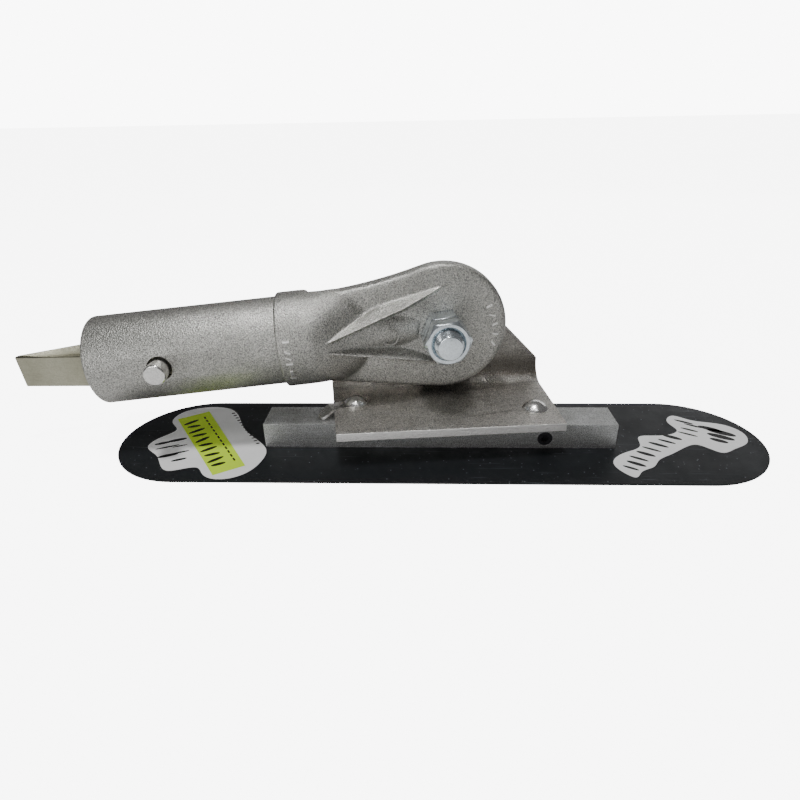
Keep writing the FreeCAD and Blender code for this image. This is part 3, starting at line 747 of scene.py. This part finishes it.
cast_skin = metal(
    "cast_skin", (0.45, 0.445, 0.42), (0.17, 0.167, 0.152), 0.38, 0.14, 0.62, 0.55, 0.0, 0.22,
    pit=0.6, bump_strength=0.75, speckle=0.42,
)
cast_worn = metal(
    "cast_worn", (0.84, 0.835, 0.81), (0.6, 0.595, 0.57), 0.26, 0.1, 0.6, 0.2, 0.0, 0.1,
    pit=0.1, bump_strength=0.3, speckle=0.06,
)
bar_metal = metal(
    "sawn_bar", (0.52, 0.53, 0.53), (0.24, 0.235, 0.22), 0.34, 0.18, 0.6, 0.5, 0.3, 0.4,
    pit=0.5, bump_strength=0.6, speckle=0.3,
)
bracket_metal = metal(
    "rolled_plate", (0.46, 0.445, 0.42), (0.17, 0.163, 0.15), 0.30, 0.16, 0.6, 0.6, 0.38, 0.4,
    turn_deg=-5.92, pit=0.6, bump_strength=0.7, pitch_mm=0.8, speckle=0.36,
)
zinc = metal(
    "zinc_plate", (0.80, 0.86, 0.90), (0.42, 0.46, 0.49), 0.13, 0.14, 1.2, 0.2, 0.05, 0.3,
    pit=0.25, bump_strength=0.25, speckle=0.08,
)
bright = metal(
    "bright_steel", (0.80, 0.79, 0.77), (0.40, 0.39, 0.37), 0.18, 0.14, 1.0, 0.2, 0.1, 0.25,
    pit=0.2, bump_strength=0.3, speckle=0.1,
)
spring = metal(
    "spring_strip", (0.47, 0.46, 0.355), (0.23, 0.22, 0.155), 0.24, 0.16, 1.0, 0.08, 0.3, 0.3,
    turn_deg=5.0, pit=0.12, bump_strength=0.3, speckle=0.05,
)
black_steel = metal(
    "black_oxide", (0.03, 0.03, 0.033), (0.01, 0.01, 0.011), 0.3, 0.15, 0.7, 0.3, 0.0, 0.3,
    pit=0.2, level=0.6, speckle=0.1,
)

# %% [markdown]
# The bracket was folded from rolled plate. A dark brown painted reflection lies along its fold,
# the flat foot is painted lighter where the overhead light falls on it, and a painted highlight
# brightens the near edge of the foot. The masks come from where a point lies on the plate: its
# height, and its distance from the front edge.

# %% Painted reflection on the fold, painted light on the foot, painted highlight on the edge
FOOT_EDGE = -20.13
tree = bracket_metal.node_tree
shader = tree.nodes["Principled BSDF"]
axes = add(tree, "ShaderNodeSeparateXYZ")
tree.links.new(tree.nodes["turned"].outputs["Vector"], axes.inputs["Vector"])
fold_start = span(tree, axes.outputs["Z"], 0.0165, 0.020)
fold_end = span(tree, axes.outputs["Z"], 0.034, 0.024)
fold = math_node(tree, "MULTIPLY", fold_start, fold_end)
# painted light: the flat foot is made up to 1.55 times lighter than the upright, as if lit from overhead
foot_painted_light = add(tree, "ShaderNodeMix", {"data_type": "RGBA", "blend_type": "MULTIPLY"})
foot_painted_light.inputs[0].default_value = 1.0
tree.links.new(tree.nodes["sparkle"].outputs[2], foot_painted_light.inputs[6])
tree.links.new(span(tree, axes.outputs["Z"], 0.0155, 0.020, 1.55, 1.0), foot_painted_light.inputs[7])
# painted reflection: a dark brown band is mixed into the colour along the fold
fold_painted_reflection = add(tree, "ShaderNodeMix", {"data_type": "RGBA"})
fold_painted_reflection.inputs[7].default_value = (0.10, 0.083, 0.062, 1)
tree.links.new(math_node(tree, "MULTIPLY", fold, 0.7), fold_painted_reflection.inputs[0])
tree.links.new(foot_painted_light.outputs[2], fold_painted_reflection.inputs[6])
# painted highlight: the near edge of the foot is mixed towards bright grey
edge_painted_highlight = add(tree, "ShaderNodeMix", {"data_type": "RGBA"})
edge_painted_highlight.inputs[7].default_value = (0.78, 0.775, 0.76, 1)
edge_mask = span(tree, axes.outputs["Y"], (FOOT_EDGE + 0.35) * MM, (FOOT_EDGE + 0.1) * MM)
tree.links.new(math_node(tree, "MULTIPLY", edge_mask, 0.85), edge_painted_highlight.inputs[0])
tree.links.new(fold_painted_reflection.outputs[2], edge_painted_highlight.inputs[6])
tree.links.new(edge_painted_highlight.outputs[2], shader.inputs["Base Color"])

# %% [markdown]
# ## Paint, film and ink
# The blade is coated black with a faint blue cast, fine dust and a few handling scratches. The
# films are slightly glossy plastic that has picked up a little grey, and the ink is the same
# film printed black.

# %% Coated finishes


def coated(name, colour, speck, rough, dust, scratch, cloud_dark=0.0, shine=0.4):
    """Paint or film with dust specks, clouding and fine scratches."""
    material = bpy.data.materials.new(name)
    material.use_nodes = True
    tree = material.node_tree
    shader = tree.nodes["Principled BSDF"]
    shader.inputs["Specular IOR Level"].default_value = shine
    place = add(tree, "ShaderNodeTexCoord")
    grain = tree.nodes.new("ShaderNodeGroup")
    grain.node_tree = grain_group
    grain.inputs["Size mm"].default_value = 0.8
    tree.links.new(place.outputs["Object"], grain.inputs["Vector"])
    lines = tree.nodes.new("ShaderNodeGroup")
    lines.node_tree = lines_group
    lines.inputs["Pitch mm"].default_value = 0.7
    tree.links.new(place.outputs["Object"], lines.inputs["Vector"])
    specks = add(tree, "ShaderNodeTexVoronoi", {"feature": "F1"}, Scale=330.0, Randomness=1.0)
    tree.links.new(place.outputs["Object"], specks.inputs["Vector"])
    dots = math_node(tree, "MULTIPLY", span(tree, specks.outputs["Distance"], 0.12, 0.05), dust)
    marks_here = math_node(tree, "MULTIPLY", lines.outputs["Scratches"], scratch)
    mask = math_node(tree, "ADD", dots, marks_here, clamp=True)
    blend = add(tree, "ShaderNodeMix", {"data_type": "RGBA"})
    blend.inputs[7].default_value = (*speck, 1)
    tree.links.new(mask, blend.inputs[0])
    tint = add(tree, "ShaderNodeMix", {"data_type": "RGBA"})
    tint.inputs[6].default_value = (*colour, 1)
    tint.inputs[7].default_value = (*[c * (1 - cloud_dark) for c in colour], 1)
    tree.links.new(span(tree, grain.outputs["Cloud"], 0.35, 0.7), tint.inputs[0])
    tree.links.new(tint.outputs[2], blend.inputs[6])
    tree.links.new(blend.outputs[2], shader.inputs["Base Color"])
    rough_value = span(tree, grain.outputs["Cloud"], 0.3, 0.7, rough, rough + 0.14)
    tree.links.new(rough_value, shader.inputs["Roughness"])
    bump = add(tree, "ShaderNodeBump", Strength=0.12, Distance=0.0002)
    tree.links.new(grain.outputs["Height"], bump.inputs["Height"])
    tree.links.new(bump.outputs["Normal"], shader.inputs["Normal"])
    return material


blade_black = coated(
    "blade_black", (0.007, 0.0085, 0.0105), (0.22, 0.24, 0.27), 0.38, 0.6, 0.2, 0.4, shine=0.26
)
film_white = coated("film_white", (0.80, 0.80, 0.80), (0.55, 0.55, 0.55), 0.3, 0.3, 0.2, 0.08)
film_green = coated("film_green", (0.55, 0.80, 0.03), (0.3, 0.45, 0.02), 0.3, 0.2, 0.2, 0.1)
ink_black = coated("ink_black", (0.006, 0.006, 0.006), (0.04, 0.04, 0.04), 0.35, 0.2, 0.1, 0.2, shine=0.2)

# %% [markdown]
# ## Which piece gets which finish
# A CAD node and the piece that replaces it share one finish. Only the casting has two: the tops
# of its raised bars are rubbed bright, so the faces that came from the bars take a second one.

# %% Hand out the finishes
FINISHES = {
    "blade": blade_black, "blade_rivets": bar_metal, "mount_bar": bar_metal, "bar_set_screw": black_steel,
    "angle_bracket": bracket_metal, "foot_screw_right": bright, "foot_screw_left": bright,
    "lock_tab_washer": bright, "pivot_spacer": zinc, "bolt_washer": zinc, "pivot_nut": zinc,
    "jam_nut": zinc, "pivot_bolt": zinc, "handle_adapter": cast_skin, "spring_clip": spring,
    "snap_button": bright, "decal_left_sheet": film_white, "decal_left_band": film_green,
    "decal_right_sheet": film_white,
}
new_pieces = {head: cast_skin, casting: cast_skin, bolt: zinc, outer: zinc, inner: zinc, printed: ink_black}
for name, finish in FINISHES.items():
    nodes[name].data.materials.clear()
    nodes[name].data.materials.append(finish)
for piece, finish in new_pieces.items():
    piece.data.materials.clear()
    piece.data.materials.append(finish)
casting.data.materials.append(cast_worn)
for face in casting.data.polygons:
    face.material_index = 1 if face.index >= plain_faces else 0
print("finishes handed out:", len(FINISHES) + len(new_pieces))

# %% [markdown]
# ## Floor, light and camera
# A product lies on a white floor that runs to a white horizon. The camera sees floor and sky
# brightened by the Light Path node, while the metal only mirrors their plain, dimmer selves;
# mirrored full white would wash every surface out. A small lamp straight overhead draws the
# bright band along the shank and drops its shadow on the blade, a wide one in front lights the
# faces turned to the viewer, a low one behind skims the top faces, and the dim sky leaves the
# steep faces of the nuts dark.

# %% Floor
deselect()
bpy.ops.mesh.primitive_plane_add(size=80, location=(0, 0, -0.0002))
floor = bpy.context.object
floor.name = "floor"
floor_paint = bpy.data.materials.new("floor_paint")
floor_paint.use_nodes = True
tree = floor_paint.node_tree
shader = tree.nodes["Principled BSDF"]
shader.inputs["Base Color"].default_value = (0.85, 0.85, 0.85, 1)
shader.inputs["Roughness"].default_value = 0.9
shader.inputs["Specular IOR Level"].default_value = 0.1
shader.inputs["Emission Color"].default_value = (1, 1, 1, 1)
seen = add(tree, "ShaderNodeLightPath")
glow = math_node(tree, "MULTIPLY", seen.outputs["Is Camera Ray"], 7.0)
tree.links.new(glow, shader.inputs["Emission Strength"])
floor.data.materials.append(floor_paint)

# %% [markdown]
# Area lamps give soft edges to shadows in step with their size. The overhead one is kept small,
# so that the shadow of the shank has a clear edge where it crosses the blade.

# %% Lights


def lamp(name, place, target, size, power, colour=(1, 1, 1)):
    """A soft rectangular lamp aimed at a point."""
    data = bpy.data.lights.new(name, "AREA")
    data.shape = "RECTANGLE"
    data.size, data.size_y = size
    data.energy = power
    data.color = colour
    obj = bpy.data.objects.new(name, data)
    bpy.context.collection.objects.link(obj)
    obj.location = place
    obj.rotation_euler = (Vector(target) - Vector(place)).to_track_quat("-Z", "Y").to_euler()
    return obj


lamp("key", (-0.06, -0.03, 1.0), (-0.03, 0, 0.03), (0.14, 0.09), 5.8)
lamp("front", (-0.40, -0.85, 0.42), (0, 0, 0.04), (0.6, 0.35), 3.4)
lamp("window", (-0.1, -0.35, 0.95), (0, 0, 0.04), (0.7, 0.10), 1.2)
lamp("back", (0.35, 0.95, 0.38), (0.05, 0, 0.02), (1.2, 0.25), 1.5)
world = bpy.data.worlds.new("studio")
bpy.context.scene.world = world
world.use_nodes = True
tree = world.node_tree
seen = add(tree, "ShaderNodeLightPath")
sky = span(tree, seen.outputs["Is Camera Ray"], 0, 1, 0.14, 9.0)
tree.links.new(sky, tree.nodes["Background"].inputs["Strength"])
tree.nodes["Background"].inputs["Color"].default_value = (1, 1, 1, 1)

# %% [markdown]
# The camera stands low and close in front of the blade with a wide lens, as someone kneeling by
# the tool would see it, and its lens and place decide how strongly the far edges shrink.

# %% Camera
camera_data = bpy.data.cameras.new("camera")
camera_data.sensor_width = 36
camera_data.lens = 25.26
camera_data.clip_start = 0.01
camera = bpy.data.objects.new("camera", camera_data)
bpy.context.collection.objects.link(camera)
camera.location = (-0.006497, -0.234378, 0.138858)
camera.rotation_euler = Euler((math.radians(63.384), math.radians(0.974), math.radians(2.060)))
bpy.context.scene.camera = camera
